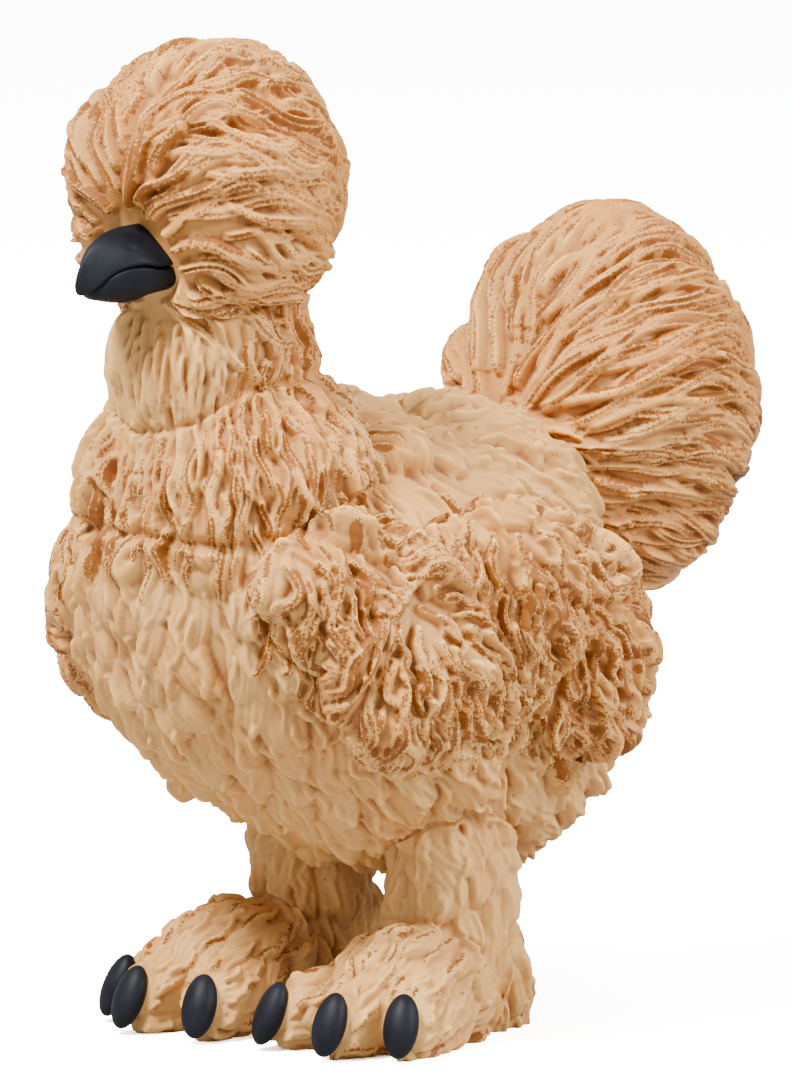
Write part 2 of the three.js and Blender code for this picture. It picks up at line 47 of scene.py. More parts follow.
SKIN_SINK = 0.45  # the skin lies this far inside the forms, and the locks rise over them
SEED = 7

# Rounded forms under the plumage: part, middle, half sizes, tilt about X in degrees (front up), and soft
# bumps or dents, each a direction, a share of the radius and a width in radians.
BODY_FORMS = [
    ("head", (0, -13.0, 44.35), (6.3, 6.45, 6.85), 0, [
        ((0, -1, -0.28), -0.21, 0.44),
        ((0.62, -0.72, 0.3), 0.05, 0.5),
        ((-0.62, -0.72, 0.3), 0.05, 0.5),
        ((0.7, -0.35, -0.62), 0.08, 0.4),
        ((-0.7, -0.35, -0.62), 0.08, 0.4),
    ]),
    ("beard", (0, -15.0, 35.4), (3.5, 2.8, 4.3), 0, []),
    ("nape", (0, -11.5, 34.5), (4.6, 4.4, 9.8), -20, []),
    ("cape", (0, -11.2, 29), (7.4, 6.5, 7.2), 0, []),
    ("torso", (0, -2.4, 20.4), (11.0, 16.5, 11.2), 22, [
        ((0, -0.6, -0.8), -0.06, 0.7),
        ((0, 0.62, -0.78), 0.08, 0.5),
    ]),
    ("saddle", (0, 3.6, 25.4), (8.0, 8.0, 6.2), 0, []),
    ("tail", (0, 15.2, 30.6), (7.0, 7.4, 8.9), 0, [
        ((0, -0.8, 0.6), -0.12, 0.6),
        ((0, 0.7, 0.7), -0.08, 0.5),
        ((0, 0.1, -0.99), 0.09, 0.5),
        ((0, 0.85, -0.5), -0.05, 0.4),
    ]),
]
# The wing on the hen's left side: its pad, then its clumps from shoulder to tip.
WING_FORMS = [
    ((9.4, -2.8, 21.6), (2.7, 10.9, 5.2)),
    ((7.5, -11.2, 24.2), (2.9, 4.1, 3.6)),
    ((10.0, -7.6, 19.8), (2.8, 4.4, 4.1)),
    ((10.2, -0.8, 23.4), (2.8, 4.8, 4.4)),
    ((9.9, 3.9, 18.8), (2.8, 4.2, 4.0)),
    ((7.1, 6.8, 20.3), (3.0, 3.6, 4.0)),
]
LEG_X = 5.2
LEG = dict(height=7, half=(3.0, 3.3, 8.4))
# Each foot: its side, where its ankle and its leg stand along Y, and its turn outwards in degrees.
FEET = [
    dict(name="left", side=1, y=-0.4, leg_y=-0.7, turn=9),
    dict(name="right", side=-1, y=-1.6, leg_y=0.1, turn=6),
]
INSTEP = ((0, -3.4, 2.6), (3.5, 5.0, 3.8))
HEEL = ((0, 2.9, 2.2), (2.6, 2.5, 3.6))
# Each toe: its name, its length, and its turn in degrees, away from the other foot where positive.
TOES = [("inner", 11.2, -25), ("middle", 11.2, 0), ("outer", 10.0, 20)]
TOE_FORM = dict(half=(1.85, 4.8, 2.4), height=1.75)
CLAW = dict(half=(0.92, 0.7, 1.7), height=1.9, lean=24, inset=0.65)

# Places that the plumage flows away from, and the middle and half sizes of the smooth skin at the beak.
FACE_ROOT = (0, -18.8, 41.6)
NAPE = (0, -11.5, 39)
TAIL_ROOT = (0, 4.5, 28)
BARE_FACE = ((0, -18.8, 41.1), (2.5, 3.2, 2.2))


def length(v):
    """The length of each vector."""
    return np.sqrt(np.einsum("...i,...i->...", v, v))


def unit(v):
    """Vectors, each divided by its own length."""
    return v / np.maximum(length(v), 1e-9)[..., None]


def dot(a, b):
    """The sum of products of each pair of vectors."""
    return np.einsum("...i,...i->...", a, b)


def smooth_step(low, high, x):
    """0 below low, 1 above high, and 3x^2 - 2x^3 between."""
    x = np.clip((x - low) / (high - low), 0, 1)
    return x * x * (3 - 2 * x)


def turn_x(degrees):
    a = math.radians(degrees)
    return np.array([[1, 0, 0], [0, math.cos(a), -math.sin(a)], [0, math.sin(a), math.cos(a)]])


def turn_z(degrees):
    a = math.radians(degrees)
    return np.array([[math.cos(a), -math.sin(a), 0], [math.sin(a), math.cos(a), 0], [0, 0, 1]])


def globe(rows, columns):
    """Directions on a grid of latitude and longitude, a half step from the poles, then the two poles."""
    lat = (np.arange(rows) + 0.5) * math.pi / rows
    lon = np.arange(columns) * 2 * math.pi / columns
    la, lo = np.meshgrid(lat, lon, indexing="ij")
    ways = np.stack([np.sin(la) * np.cos(lo), np.sin(la) * np.sin(lo), np.cos(la)], -1).reshape(-1, 3)
    return np.vstack([ways, [[0, 0, 1], [0, 0, -1]]])


class Form:
    """An ellipsoid, turned, whose radius swells or shrinks round a few directions."""

    def __init__(self, part, centre, half, turn=np.eye(3), bumps=()):
        self.part = part
        self.centre = np.array(centre, float)
        self.half = np.array(half, float)
        self.turn = turn
        self.bumps = [(unit(np.array(way, float)), share, width) for way, share, width in bumps]

    def share(self, way):
        """1 plus each bump's share times exp(-(angle from the bump / width)^2)."""
        total = np.ones(len(way))
        for bump, share, width in self.bumps:
            angle = np.arccos(np.clip(way @ bump, -1, 1))
            total += share * np.exp(-((angle / width) ** 2))
        return total

    def distance(self, p):
        """With q the point divided by the half sizes: |q| (|q| - 1) / |q divided by them again|, which
        is close to the distance from the surface."""
        way = p - self.centre
        if self.bumps:
            way = way / self.share(unit(way))[:, None]
        q = (way @ self.turn) / self.half
        far = length(q)
        return far * (far - 1) / np.maximum(length(q / self.half), 1e-9)

    def grid(self, rows, columns):
        """Each direction of a globe times the form's radius in that direction."""
        local = globe(rows, columns)
        reach = 1 / length(local / self.half)
        way = local @ self.turn.T
        return self.centre + way * (reach * self.share(way))[:, None]


def all_forms():
    forms = [Form(part, c, h, turn_x(-tilt), bumps) for part, c, h, tilt, bumps in BODY_FORMS]
    for side in (1, -1):
        for (x, y, z), half in WING_FORMS:
            forms.append(Form("wing_left" if side > 0 else "wing_right", (side * x, y, z), half))
    for foot in FEET:
        side = foot["side"]
        ankle = np.array([side * LEG_X, foot["y"], 0.0])
        turn = turn_z(side * foot["turn"])
        forms.append(Form("leg", (side * LEG_X, foot["leg_y"], LEG["height"]), LEG["half"]))
        for centre, half in (INSTEP, HEEL):
            forms.append(Form("foot", ankle + turn @ centre, half, turn))
        for _, reach, spread_out in TOES:
            aim = turn @ turn_z(side * spread_out)
            middle = ankle + aim @ (0, TOE_FORM["half"][1] - reach, TOE_FORM["height"])
            forms.append(Form("foot", middle, TOE_FORM["half"], aim))
    return forms


FORMS = all_forms()
PARTS = list(dict.fromkeys(form.part for form in FORMS))


def part_pulls(p):
    """How near each part is to each point: the sum of exp(-distance / BLEND) over the part's forms."""
    swell, margin = 1.1, 2
    pulls = np.zeros((len(PARTS), len(p)))
    for form in FORMS:
        offset = p - form.centre
        near = np.flatnonzero(dot(offset, offset) < (form.half.max() * swell + margin) ** 2)
        pulls[PARTS.index(form.part), near] += np.exp(-form.distance(p[near]) / BLEND)
    return pulls


def union_distance(p):
    """All the forms joined with rounded creases: minus BLEND times the log of the sum of the pulls."""
    return -BLEND * np.log(part_pulls(p).sum(axis=0) + 1e-12) + SKIN_SINK


def union_slope(p, level):
    """The gradient of the joined distance, by a small step along each axis."""
    step = 0.02
    return np.stack([(union_distance(p + step * axis) - level) / step for axis in np.eye(3)], axis=1)


def onto_union(p, rounds):
    """Points moved along the slope until the joined distance is nought, with the slope there."""
    least_slope = 0.05
    for _ in range(rounds):
        level = union_distance(p)
        slope = union_slope(p, level)
        p = p - slope * (level / np.maximum(dot(slope, slope), least_slope))[:, None]
    return p, unit(slope)


def grid_faces(rows, columns):
    """Quads between the rings of a grid, and triangles from its first and last rings to two poles."""
    i, j = np.meshgrid(np.arange(rows - 1), np.arange(columns), indexing="ij")
    nxt = (j + 1) % columns
    here, below = i * columns, (i + 1) * columns
    quads = np.stack([here + j, below + j, below + nxt, here + nxt], -1)
    ring = np.arange(columns)
    after = (ring + 1) % columns
    top = rows * columns
    base = (rows - 1) * columns
    caps = [np.stack([np.full(columns, top), ring, after], -1)]
    caps.append(np.stack([np.full(columns, top + 1), base + after, base + ring], -1))
    return quads.reshape(-1, 4), np.vstack(caps)


def mesh_of(name, points, quads, triangles=None):
    """A mesh from arrays of points, quads and triangles."""
    loops = quads.ravel()
    sizes = np.full(len(quads), 4)
    if triangles is not None and len(triangles):
        loops = np.concatenate([loops, triangles.ravel()])
        sizes = np.concatenate([sizes, np.full(len(triangles), 3)])
    mesh = bpy.data.meshes.new(name)
    mesh.vertices.add(len(points))
    mesh.vertices.foreach_set("co", np.ascontiguousarray(points, dtype=np.float32).ravel())
    mesh.loops.add(len(loops))
    mesh.loops.foreach_set("vertex_index", loops.astype(np.int32))
    mesh.polygons.add(len(sizes))
    mesh.polygons.foreach_set("loop_start", (np.cumsum(sizes) - sizes).astype(np.int32))
    mesh.update(calc_edges=True)
    mesh.polygons.foreach_set("use_smooth", np.ones(len(sizes), dtype=bool))
    return mesh


def fused_skin():
    """One closed mesh of quads round all the forms: the forms' grids, remeshed as one volume."""
    rows, columns = 72, 96
    quads, caps = grid_faces(rows, columns)
    count = len(globe(rows, columns))
    points = np.vstack([form.grid(rows, columns) for form in FORMS])
    starts = np.arange(len(FORMS))[:, None, None] * count
    mesh = mesh_of("hen_forms", points, (quads + starts).reshape(-1, 4), (caps + starts).reshape(-1, 3))
    body = bpy.data.objects.new("hen_forms", mesh)
    bpy.context.scene.collection.objects.link(body)
    remesh = body.modifiers.new("fuse", "REMESH")
    remesh.mode = "VOXEL"
    remesh.voxel_size = VOXEL
    fused = body.evaluated_get(bpy.context.evaluated_depsgraph_get()).to_mesh()
    points = np.empty(len(fused.vertices) * 3)
    fused.vertices.foreach_get("co", points)
    loops = np.empty(len(fused.loops), dtype=np.int64)
    fused.loops.foreach_get("vertex_index", loops)
    edges = np.empty(len(fused.edges) * 2, dtype=np.int64)
    fused.edges.foreach_get("vertices", edges)
    bpy.data.objects.remove(body)
    bpy.data.meshes.remove(mesh)
    return points.reshape(-1, 3), loops.reshape(-1, 4), edges.reshape(-1, 2)


class Web:
    """The skin's edges, for averages over neighbouring points."""

    def __init__(self, edges, count):
        self.a, self.b = edges.T
        self.count = count
        self.degree = np.bincount(edges.ravel(), minlength=count)

    def mean(self, values):
        """Each point's value replaced by the mean of its neighbours' values."""
        if values.ndim == 2:
            return np.stack([self.mean(column) for column in values.T], axis=1)
        total = np.bincount(self.a, values[self.b], self.count)
        total += np.bincount(self.b, values[self.a], self.count)
        return total / self.degree

    def smooth(self, values, rounds):
        """Each round takes every value half way to the mean of its neighbours' values."""
        for _ in range(rounds):
            values = values + 0.5 * (self.mean(values) - values)
        return values


def near_pairs(points, centres, reach):
    """Pairs of a point and a centre in the same or touching cells of side reach, a batch for each of the
    27 neighbouring cells."""
    low = points.min(axis=0) - 2 * reach
    size = np.ceil((points.max(axis=0) + 2 * reach - low) / reach).astype(np.int64) + 1
    weigh = np.array([size[1] * size[2], size[2], 1])
    keys = np.floor((points - low) / reach).astype(np.int64) @ weigh
    order = np.argsort(keys, kind="stable")
    keys = keys[order]
    home = np.floor((centres - low) / reach).astype(np.int64) @ weigh
    shifts = np.stack(np.meshgrid([-1, 0, 1], [-1, 0, 1], [-1, 0, 1]), -1).reshape(-1, 3) @ weigh
    for shift in shifts:
        start = np.searchsorted(keys, home + shift, "left")
        counts = np.searchsorted(keys, home + shift, "right") - start
        owner = np.repeat(np.arange(len(centres)), counts)
        first = np.cumsum(counts) - counts
        yield order[np.arange(len(owner)) - np.repeat(first - start, counts)], owner


def spread(points, spacing, draw):
    """Which of the points to keep so that none are closer than the spacing: in a few rounds, each
    point that comes first among its near ones stays and clears the rest."""
    rank = draw.permutation(len(points))
    pairs = [np.stack(pair) for pair in near_pairs(points, points, spacing)]
    a, b = np.hstack(pairs)
    near = length(points[a] - points[b]) < spacing
    a, b = a[near], b[near]
    alive = np.ones(len(points), dtype=bool)
    kept = np.zeros(len(points), dtype=bool)
    while alive.any():
        best = rank.copy()
        rivals = alive[b]
        np.minimum.at(best, a[rivals], rank[b[rivals]])
        chosen = alive & (best == rank)
        kept |= chosen
        alive[a[chosen[b]]] = False
    return np.flatnonzero(kept)


def away_from(point, lean=(0, 0, 0)):
    """A flow that leads away from a point and leans towards a direction."""
    return lambda p: unit(p - np.array(point, float)) + np.array(lean, float)


def crest_flow(p):
    """Away from the face, and leaning back and down more the further from it."""
    near, far = 2.5, 10
    away = p - np.array(FACE_ROOT)
    lean = smooth_step(near, far, length(away))[:, None]
    return unit(away) + lean * np.array([0, 0.25, -0.85])


def tail_flow(p):
    """Away from the tail's root, leaning down more the further back."""
    droop_start, droop_rise = 12, 10
    droop = 0.9 * np.maximum(0, (p[:, 1] - droop_start) / droop_rise)
    return away_from(TAIL_ROOT, (0, 0.2, 0))(p) - np.stack([0 * droop, 0 * droop, droop], axis=1)


def wing_flow(p):
    """Away from a place over the front of the nearest clump, back and down."""
    outwards, forwards, share_up = 1.0, 1.6, 1.1
    side = np.sign(p[:, :1])
    mirrored = p * np.hstack([side, np.ones((len(p), 2))])
    middles = np.array([c for c, _ in WING_FORMS[1:]])
    halves = np.array([h for _, h in WING_FORMS[1:]])
    near = length((mirrored[:, None] - middles) / halves).argmin(axis=1)
    over = np.stack([0 * near + outwards, 0 * near - forwards, share_up * halves[near, 2]], axis=1)
    flow = unit(mirrored - (middles[near] + over)) + np.array([0, 0.25, -0.35])
    return flow * np.hstack([side, np.ones((len(p), 2))])


def away_over_leg(y, z):
    """A flow that leads away from a place over each leg's middle."""
    def flow(p):
        places = np.stack([np.sign(p[:, 0]) * LEG_X, 0 * p[:, 0] + y, 0 * p[:, 0] + z], axis=1)
        return unit(p - places)
    return flow


BEARD_FLOW = away_from((0, -14, 42))
NAPE_FLOW = away_from((0, -12, 44))
CAPE_FLOW = away_from(NAPE)
BREAST_FLOW = away_from(NAPE, (0, 0.15, -0.1))
SADDLE_FLOW = away_from(NAPE, (0, 0.3, 0))
LEG_FLOW = away_over_leg(-1.0, 22.0)
FOOT_FLOW = away_over_leg(1.0, 6.0)

TRIES = 12  # places tried for a root, for each square of the spacing
# Broad locks, soft overlapping tongues. Each row: parts, spacing of roots, flow, length, width, rise,
# how steep the tip is (0 fades out, 1 a ledge), ridges across its half width, the depth of the grooves
# between them, and bend in radians.
LOCKS = [
    (("head",), 2.0, crest_flow, 8.0, 2.2, 0.60, 0.2, 1.5, 0.10, 0.5),
    (("beard",), 1.2, BEARD_FLOW, 5.0, 1.2, 0.50, 0.8, 1.5, 0.16, 0.3),
    (("nape",), 1.6, NAPE_FLOW, 4.4, 1.7, 0.55, 0.7, 1.5, 0.16, 0.6),
    (("cape",), 1.5, CAPE_FLOW, 4.0, 1.7, 0.55, 0.7, 1.5, 0.16, 0.6),
    (("torso",), 1.8, BREAST_FLOW, 4.2, 2.1, 0.75, 0.8, 2.5, 0.12, 0.9),
    (("saddle",), 1.6, SADDLE_FLOW, 4.6, 1.7, 0.75, 0.6, 1.5, 0.16, 1.0),
    (("tail",), 2.2, tail_flow, 9.0, 2.4, 0.70, 0.3, 2.5, 0.12, 0.35),
    (("wing_left", "wing_right"), 1.6, wing_flow, 3.6, 1.8, 0.75, 0.6, 1.5, 0.15, 0.9),
    (("leg",), 1.4, LEG_FLOW, 3.2, 1.4, 0.50, 0.7, 1.5, 0.14, 0.6),
    (("foot",), 1.3, FOOT_FLOW, 3.0, 1.4, 0.45, 0.7, 1.5, 0.12, 0.6),
]
# Large clumps under the locks, in the same columns, without grooves.
CLUMPS = [
    (("head",), 4.0, crest_flow, 9.0, 4.4, 0.36, 0.0, 0, 0.00, 0.5),
    (("cape",), 3.2, CAPE_FLOW, 6.0, 3.8, 0.90, 1.0, 0, 0.00, 0.4),
    (("torso",), 3.6, BREAST_FLOW, 6.0, 4.2, 0.60, 0.9, 0, 0.00, 0.6),
    (("tail",), 4.4, tail_flow, 11.0, 4.6, 0.70, 0.2, 0, 0.00, 0.3),
    (("leg",), 2.6, LEG_FLOW, 4.4, 2.8, 0.35, 0.8, 0, 0.00, 0.4),
]
# Narrow strands raised over the locks. Each row: parts, spacing, flow, length, width, rise, how twinned (0 a
# single ridge, 1 two with a groove between), S-bend in radians, hook at the tip in radians, and how
# much brown the brush left.
STRANDS = [
    (("head",), 0.85, crest_flow, 6.0, 0.64, 0.74, 0.9, 0.6, 1.4, 1.9),
    (("beard",), 0.62, BEARD_FLOW, 4.2, 0.36, 0.44, 0.0, 0.25, 0.25, 0.1),
    (("nape",), 0.9, NAPE_FLOW, 3.4, 0.52, 0.5, 0.8, 0.5, 0.8, 1.9),
    (("cape",), 0.85, CAPE_FLOW, 3.2, 0.52, 0.6, 0.9, 0.5, 0.7, 1.9),
    (("torso",), 1.2, BREAST_FLOW, 3.4, 0.5, 0.32, 0.1, 0.6, 0.8, 0.1),
    (("saddle",), 1.1, SADDLE_FLOW, 3.6, 0.5, 0.38, 0.2, 0.6, 1.1, 0.4),
    (("tail",), 0.95, tail_flow, 7.0, 0.68, 0.75, 0.9, 0.35, 0.5, 1.9),
    (("wing_left", "wing_right"), 0.7, wing_flow, 2.8, 0.5, 0.66, 0.8, 0.8, 1.8, 2.2),
    (("leg",), 1.1, LEG_FLOW, 2.6, 0.42, 0.28, 0.1, 0.4, 0.4, 0.3),
    (("foot",), 0.95, FOOT_FLOW, 2.4, 0.42, 0.3, 0.3, 0.5, 0.4, 1.4),
]


# Rounds of smoothing: of each layer of the relief, of the parts' shares, and of what counts as level.
CLUMP_ROUNDS, LOCK_ROUNDS, STRAND_ROUNDS, SHARE_ROUNDS, LEVEL_ROUNDS = 8, 1, 1, 4, 24
SEAM_RELIEF = 0.5  # how much of the relief is kept where two parts meet
DRY_BRUSH = 0.28  # how much paint the high places catch, as a share of their strand's brown


class Skin:
    """The fused skin, and what the locks and strands have added to it at each point."""

    def __init__(self):
        points, self.quads, edges = fused_skin()
        self.web = Web(edges, len(points))
        points = self.web.smooth(points, 3)
        points, _ = onto_union(points, 1)
        points = self.web.smooth(points, 2)
        self.points, self.normals = onto_union(points, 2)
        pulls = part_pulls(self.points)
        self.shares = pulls / pulls.sum(axis=0)
        self.draw = np.random.default_rng(SEED)
        self.clump_rise = np.zeros(len(points))
        self.lock_rise = np.zeros(len(points))
        self.strand_rise = np.zeros(len(points))
        self.brush = np.zeros(len(points))
        self.dry = np.zeros(len(points))
        self.tint = np.full(len(points), 0.5)

    def share(self, parts):
        return self.shares[[PARTS.index(part) for part in parts]].sum(axis=0)

    def routes(self, parts, spacing, flow, length, steps, heading):
        """Paths over the skin, from roots spread evenly over the parts, stepping along the flow turned
        by the heading, a function of the place along each path. Returns their points, tangents, sides
        and normals, each an array of step, path and axis, with each path's own length."""
        places = np.flatnonzero(self.share(parts) > 0.5)
        tries = int(TRIES * len(places) * (VOXEL / spacing) ** 2)
        pick = self.draw.choice(places, size=min(len(places), tries), replace=False)
        roots = pick[spread(self.points[pick], spacing, self.draw)]
        lengths = length * self.draw.uniform(0.75, 1.25, len(roots))
        turn = heading(len(roots))
        p = self.points[roots]
        normal = self.normals[roots]
        taken = []
        for i in range(steps):
            t = i / (steps - 1)
            along = flow(p)
            along = unit(along - dot(along, normal)[:, None] * normal)
            angle = turn(t)[:, None]
            side = np.cross(along, normal)
            along = unit(along * np.cos(angle) + side * np.sin(angle))
            taken.append((p, along, np.cross(along, normal), normal))
            p = p + along * (lengths / (steps - 1))[:, None]
            p, normal = onto_union(p, 1)
        return [np.stack(column) for column in zip(*taken)] + [lengths]

    def press(self, paths, widths, height, keep):
        """For each point near a path, the place t along it and s across it, as a share of the path's
        half width there. height(t, s, path) gives the height, and keep stores it where it is the
        highest so far."""
        p, along, side, normal, lengths = paths
        steps, count = p.shape[:2]
        flat = [a.reshape(-1, 3) for a in (p, along, side, normal)]
        pace = np.tile(lengths / (steps - 1), steps)
        t_at = np.repeat(np.arange(steps) / (steps - 1), count)
        path_at = np.tile(np.arange(count), steps)
        reach = max(widths.max() * 0.55, pace.max())
        over_pace, past_edge, off_skin, least_facing = 0.7, 1.2, 0.8, 0.4
        for point, sample in near_pairs(self.points, flat[0], reach):
            offset = self.points[point] - flat[0][sample]
            ahead, across, above = (dot(offset, axes[sample]) for axes in flat[1:])
            path = path_at[sample]
            t = t_at[sample] + ahead / lengths[path]
            s = across / (widths[path] / 2)
            near = (np.abs(ahead) < over_pace * pace[sample]) & (np.abs(s) < past_edge)
            near &= (np.abs(above) < off_skin) & (t > 0) & (t < 1)
            near &= dot(self.normals[point], flat[3][sample]) > least_facing
            point, path, t, s = point[near], path[near], t[near], s[near]
            h = height(t, s, path)
            order = np.argsort(h)
            keep(point[order], path[order], t[order], s[order], h[order])

    def lay_locks(self, layer, parts, spacing, flow, length, width, rise, ledge, ridges, ridge_rise, bend):
        """Locks are pressed into a layer. A lock is a tongue: a dome across, which is the root of
        1 - across^2, rising from its root and rounding off steeply at its tip, with fine grooves along
        it that meet at the tip."""

        def heading(count):
            bends = self.draw.uniform(-bend, bend, count)
            return lambda t: bends * (t - 0.3) * 2

        paths = self.routes(parts, spacing, flow, length, 12, heading)
        count = len(paths[4])
        widths = width * self.draw.uniform(0.8, 1.2, count)
        rises = rise * self.draw.uniform(0.7, 1.3, count)
        tints = self.draw.uniform(0, 1, count)

        def height(t, s, path):
            narrow = np.sin(math.pi * (0.18 + 0.74 * t)) ** 0.8
            across = s / narrow
            dome = np.sqrt(np.clip(1 - across**2, 0, 1))
            tongue = (0.1 + 0.9 * smooth_step(0, 0.75, t)) * np.sqrt(np.clip((1 - t) / 0.16, 0, 1))
            spindle = np.sin(math.pi * np.clip(0.06 + 0.9 * t, 0, 1)) ** 0.7
            climb = ledge * tongue + (1 - ledge) * spindle
            fine = ridge_rise * (np.abs(np.cos(across * math.pi * ridges)) - 1) * smooth_step(0, 0.4, dome)
            return (rises[path] * dome + fine) * np.minimum(climb, 1)

        def keep(point, path, t, s, h):
            higher = h > layer[point]
            point, path, h = point[higher], path[higher], h[higher]
            layer[point] = h
            self.tint[point] = tints[path]

        self.press(paths, widths, height, keep)

    def lay_strands(self, parts, spacing, flow, length, width, rise, twin, wave, hook, paint):
        """A strand is a narrow ridge, or two with a groove between them, that starts bluntly and fades
        out at its tip."""

        def heading(count):
            waves = self.draw.uniform(0.4, 1, count) * wave
            phases = self.draw.uniform(0, 2 * math.pi, count)
            hooks = self.draw.uniform(-1, 1, count) ** 3 * hook
            return lambda t: waves * np.sin(2 * math.pi * t + phases) + hooks * max(0, t - 0.5) * 2

        paths = self.routes(parts, spacing, flow, length, 18, heading)
        count = len(paths[4])
        widths = width * self.draw.uniform(0.75, 1.2, count)
        rises = rise * self.draw.uniform(0.6, 1.25, count)
        twins = twin * self.draw.uniform(0.3, 1, count)
        brown = paint * self.draw.uniform(0.3, 1, count)
        flank = self.draw.choice([-1, 1], count)

        def height(t, s, path):
            narrow = np.clip(np.sin(math.pi * (0.2 + 0.76 * t)), 0, 1) ** 0.45
            across = s / narrow
            single = np.clip(1 - across**2, 0, 1) ** 0.8
            groove = twins[path] * np.exp(-((across / 0.3) ** 2))
            fade = np.sqrt(np.clip(t / 0.08, 0, 1) * np.clip((1 - t) / 0.35, 0, 1))
            return rises[path] * single * (1 - 0.75 * groove) * fade

        def keep(point, path, t, s, h):
            higher = h > self.strand_rise[point]
            point, path, t, s, h = point[higher], path[higher], t[higher], s[higher], h[higher]
            self.strand_rise[point] = h
            middle = np.exp(-((s / 0.3) ** 2)) * twins[path]
            beside = np.exp(-(((s * flank[path] - 0.85) / 0.24) ** 2))
            ends = smooth_step(0, 0.15, np.minimum(t, 1 - t))
            self.brush[point] = brown[path] * np.maximum(middle, beside) * ends
            self.dry[point] = brown[path]

        self.press(paths, widths, height, keep)

    def sculpt(self):
        """The skin moved outwards by clumps, locks and strands together, less where two parts meet. The
        crease is the relief minus its own smoothed shape, and the dry brush catches its highest places."""
        for row in CLUMPS:
            self.lay_locks(self.clump_rise, *row)
        for row in LOCKS:
            self.lay_locks(self.lock_rise, *row)
        for row in STRANDS:
            self.lay_strands(*row)
        bare = self.bare()
        clump = self.web.smooth(self.clump_rise, CLUMP_ROUNDS)
        lock = self.web.smooth(self.lock_rise, LOCK_ROUNDS)
        strand = self.web.smooth(self.strand_rise, STRAND_ROUNDS)
        alone = smooth_step(0.45, 0.75, self.web.smooth(self.shares.max(axis=0), SHARE_ROUNDS))
        relief = (clump + lock + strand) * bare * (SEAM_RELIEF + (1 - SEAM_RELIEF) * alone)
        self.crease = relief - self.web.smooth(relief, LEVEL_ROUNDS)
        dry = DRY_BRUSH * self.web.smooth(self.dry, 2) * smooth_step(0.05, 0.3, self.crease)
        off_beard = 1 - self.web.smooth(self.share(("beard",)), 3)
        self.brush = np.maximum(self.web.smooth(self.brush, 1), dry) * bare * off_beard
        self.shaped = self.points + self.normals * relief[:, None]
        self.shaped[:, 2] = np.maximum(self.shaped[:, 2], 0)

    def bare(self):
        """0 on the smooth skin round the beak and the claws, 1 on the plumage."""
        beak = Form("beak", *BARE_FACE)
        clear = smooth_step(0.35, 0.65, beak.distance(self.points))
        for claw in claw_frames():
            oval = Form("claw", claw["middle"], CLAW["half"], claw["turn"])
            clear *= smooth_step(0.1, 0.6, oval.distance(self.points))
        return clear


def claw_frames():
    """Each claw's middle and turn: on the front of its toe, leaning back."""
    frames = []
    for foot in FEET:
        side = foot["side"]
        ankle = np.array([side * LEG_X, foot["y"], 0.0])
        for toe, reach, spread_out in TOES:
            aim = turn_z(side * (foot["turn"] + spread_out))
            middle = ankle + aim @ np.array([0, CLAW["inset"] - reach, CLAW["height"]])
            name = f"claw_{foot['name']}_{toe}"
            frames.append(dict(name=name, middle=middle, turn=aim @ turn_x(-CLAW["lean"])))
    return frames


def metres(points):
    return (points + TO_FRAME) * MM


def add_piece(name, mesh, material, slot, nodes):
    """Puts a finished piece on the hen's one body."""
    piece = bpy.data.objects.new(name, mesh)
    bpy.context.scene.collection.objects.link(piece)
    mesh.materials.append(material)
    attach(piece, "root")
    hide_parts(*nodes)


def rim_edges(quads, count):
    """The edges that only one face has, each in that face's own direction."""
    edges = np.stack([quads, np.roll(quads, -1, axis=1)], -1).reshape(-1, 2)
    codes = edges[:, 0] * count + edges[:, 1]
    back = edges[:, 1] * count + edges[:, 0]
    return edges[~np.isin(codes, back)]


def close_rims(quads, points, normals):
    """Closes each open rim of a piece: a wall goes WALL into the figure, then triangles meet at the
    middle of the wall's foot. Returns the new points, the wall's quads and the triangles."""
    rim = rim_edges(quads, len(points))
    starts = rim[:, 0]
    foot = np.full(len(points), -1)
    foot[starts] = len(points) + np.arange(len(starts))
    feet = points[starts] - WALL * normals[starts]
    wall = np.stack([rim[:, 1], rim[:, 0], foot[rim[:, 0]], foot[rim[:, 1]]], -1)
    label = np.arange(len(points))
    for _ in range(len(rim)):
        low = np.minimum(label[rim[:, 0]], label[rim[:, 1]])
        before = label[rim].sum()
        np.minimum.at(label, rim[:, 0], low)
        np.minimum.at(label, rim[:, 1], low)
        if label[rim].sum() == before:
            break
    loops, member = np.unique(label[starts], return_inverse=True)
    middles = np.stack([feet[member == i].mean(axis=0) for i in range(len(loops))])
    apex = len(points) + len(starts) + member
    fans = np.stack([foot[rim[:, 1]], foot[rim[:, 0]], apex], -1)
    return np.vstack([feet, middles]), wall, fans


